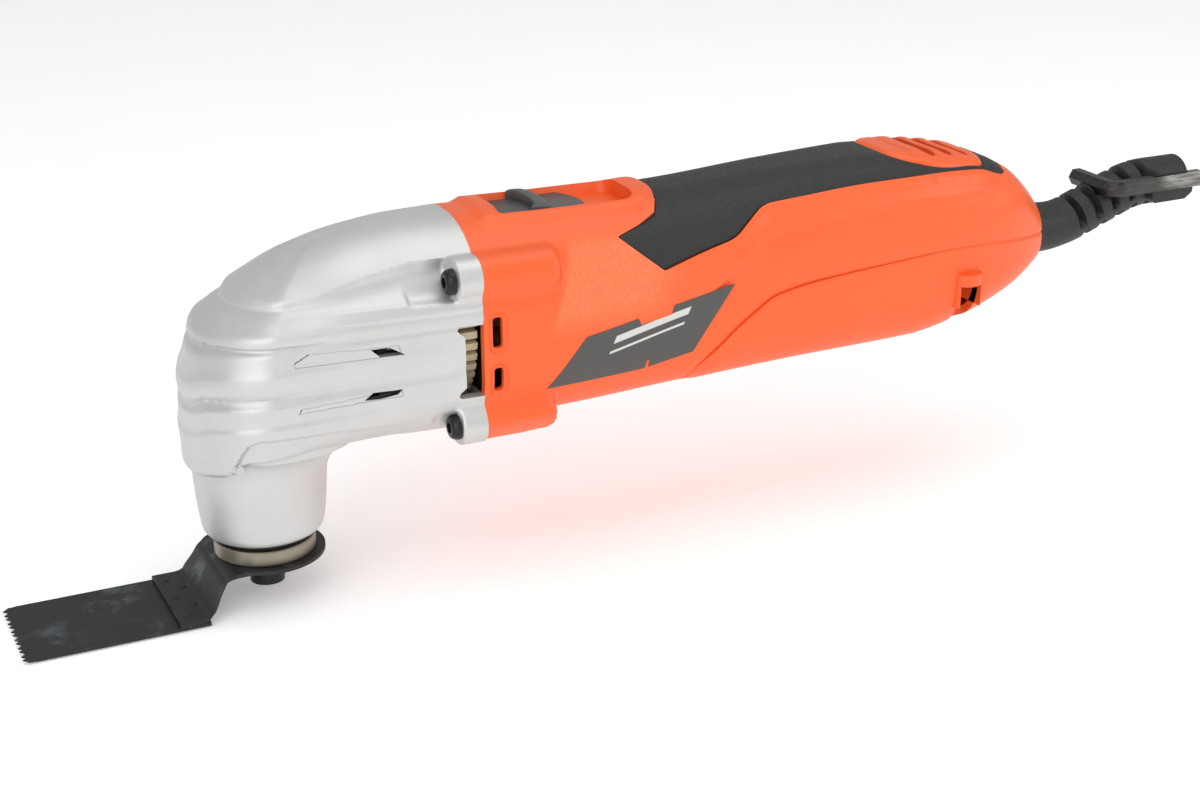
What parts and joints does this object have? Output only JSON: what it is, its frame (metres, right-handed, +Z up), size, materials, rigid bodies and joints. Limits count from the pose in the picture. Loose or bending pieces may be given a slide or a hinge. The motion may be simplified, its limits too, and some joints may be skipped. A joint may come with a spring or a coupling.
{
  "type": "oscillating multi tool",
  "caption": "Corded oscillating multi tool with a cast gear head, thumb slide switch, soft grip, cable boot with key clip and a cranked plunge saw blade.",
  "frame": {"origin": "where the spindle axis meets the accessory seat, the flat underside of the spindle flange", "axes": "+X from the spindle towards the cable boot, +Z up the spindle towards the motor axis"},
  "size_m": [0.3953, 0.0604, 0.1085],
  "materials": {
    "cast_aluminium": "silver satin paint on a die casting",
    "orange_plastic": "moulded, fine texture",
    "black_rubber": "fine grain",
    "grey_badge": "satin label",
    "grey_plastic": "satin",
    "black_plastic": "moulded",
    "cream_plastic": "natural nylon",
    "yellow_plastic": "satin",
    "black_screws": "black oxide",
    "bright_steel": "bright",
    "bearing_steel": "ground",
    "key_steel": "dark finish",
    "flange_steel": "turned, faintly tarnished",
    "felt": "pressed felt",
    "lamination_steel": "stacked sheet",
    "copper": "enamelled copper",
    "brass": "bright",
    "carbon": "pressed carbon",
    "blackened_steel": "blackened, lightly rubbed"
  },
  "bodies": {
    "tool": {"gear_head": "cast_aluminium", "motor_housing": "orange_plastic", "rear_cover": "orange_plastic", "soft_grip": "black_rubber", "side_badges": "grey_badge", "head_screws": "black_screws", "cover_screws": "black_screws", "bearing_bridge": "cast_aluminium", "bridge_screws": "bright_steel", "dust_seal": "felt", "bearing_retaining_ring": "bright_steel", "lower_spindle_bearing_outer_race": "bearing_steel", "lower_spindle_bearing_balls": "bearing_steel", "upper_spindle_bearing_outer_race": "bearing_steel", "upper_spindle_bearing_balls": "bearing_steel", "front_motor_bearing_outer_race": "bearing_steel", "front_motor_bearing_balls": "bearing_steel", "rear_motor_bearing_outer_race": "bearing_steel", "rear_motor_bearing_balls": "bearing_steel", "fan_baffle": "black_plastic", "stator_core": "lamination_steel", "field_coils": "copper", "brush_carrier": "black_plastic", "carrier_screws": "bright_steel", "brush_holders": "brass", "brushes": "carbon", "brush_springs": "bright_steel", "switch_body": "black_plastic", "capacitor": "yellow_plastic", "terminal_block": "black_plastic", "cord_clamp": "black_plastic", "cord_clamp_screws": "bright_steel", "cable_boot": "black_rubber"},
    "spindle_group": {"spindle": "flange_steel", "oscillating_fork": "flange_steel", "spindle_circlip": "bright_steel", "lower_spindle_bearing_inner_race": "bearing_steel", "upper_spindle_bearing_inner_race": "bearing_steel", "clamp_washer": "black_screws", "accessory_holder": "blackened_steel", "saw_blade": "blackened_steel"},
    "clamp_screw": {"clamp_screw": "black_screws"},
    "rotor": {"armature_shaft": "bright_steel", "armature_core": "lamination_steel", "armature_windings": "copper", "commutator": "copper", "fan": "cream_plastic", "front_motor_bearing_inner_race": "bearing_steel", "rear_motor_bearing_inner_race": "bearing_steel", "eccentric_bearing_outer_race": "bearing_steel", "eccentric_bearing_inner_race": "bearing_steel", "eccentric_bearing_balls": "bearing_steel"},
    "slider": {"switch_slider": "grey_plastic", "switch_link": "black_plastic", "switch_knob": "black_plastic"},
    "hex_key": {"hex_key": "key_steel"}
  },
  "joints": [
    {"name": "spindle_swing", "type": "hinge", "parent": "tool", "child": "spindle_group", "pos_m": [0, 0, 0], "axis": [0, 0, 1], "range_deg": [-1.6, 1.6]},
    {"name": "clamp_screw_turn", "type": "hinge", "parent": "spindle_group", "child": "clamp_screw", "pos_m": [0, 0, -0.005], "axis": [0, 0, 1], "continuous": true},
    {"name": "motor_spin", "type": "hinge", "parent": "tool", "child": "rotor", "pos_m": [0.09, 0, 0.062], "axis": [1, 0, 0], "continuous": true},
    {"name": "switch_slide", "type": "slide", "parent": "tool", "child": "slider", "axis": [1, 0, 0], "range_m": [0, 0.008]},
    {"name": "key_pull", "type": "slide", "parent": "tool", "child": "hex_key", "axis": [0, -1, 0], "range_m": [0, 0.025]}
  ]
}
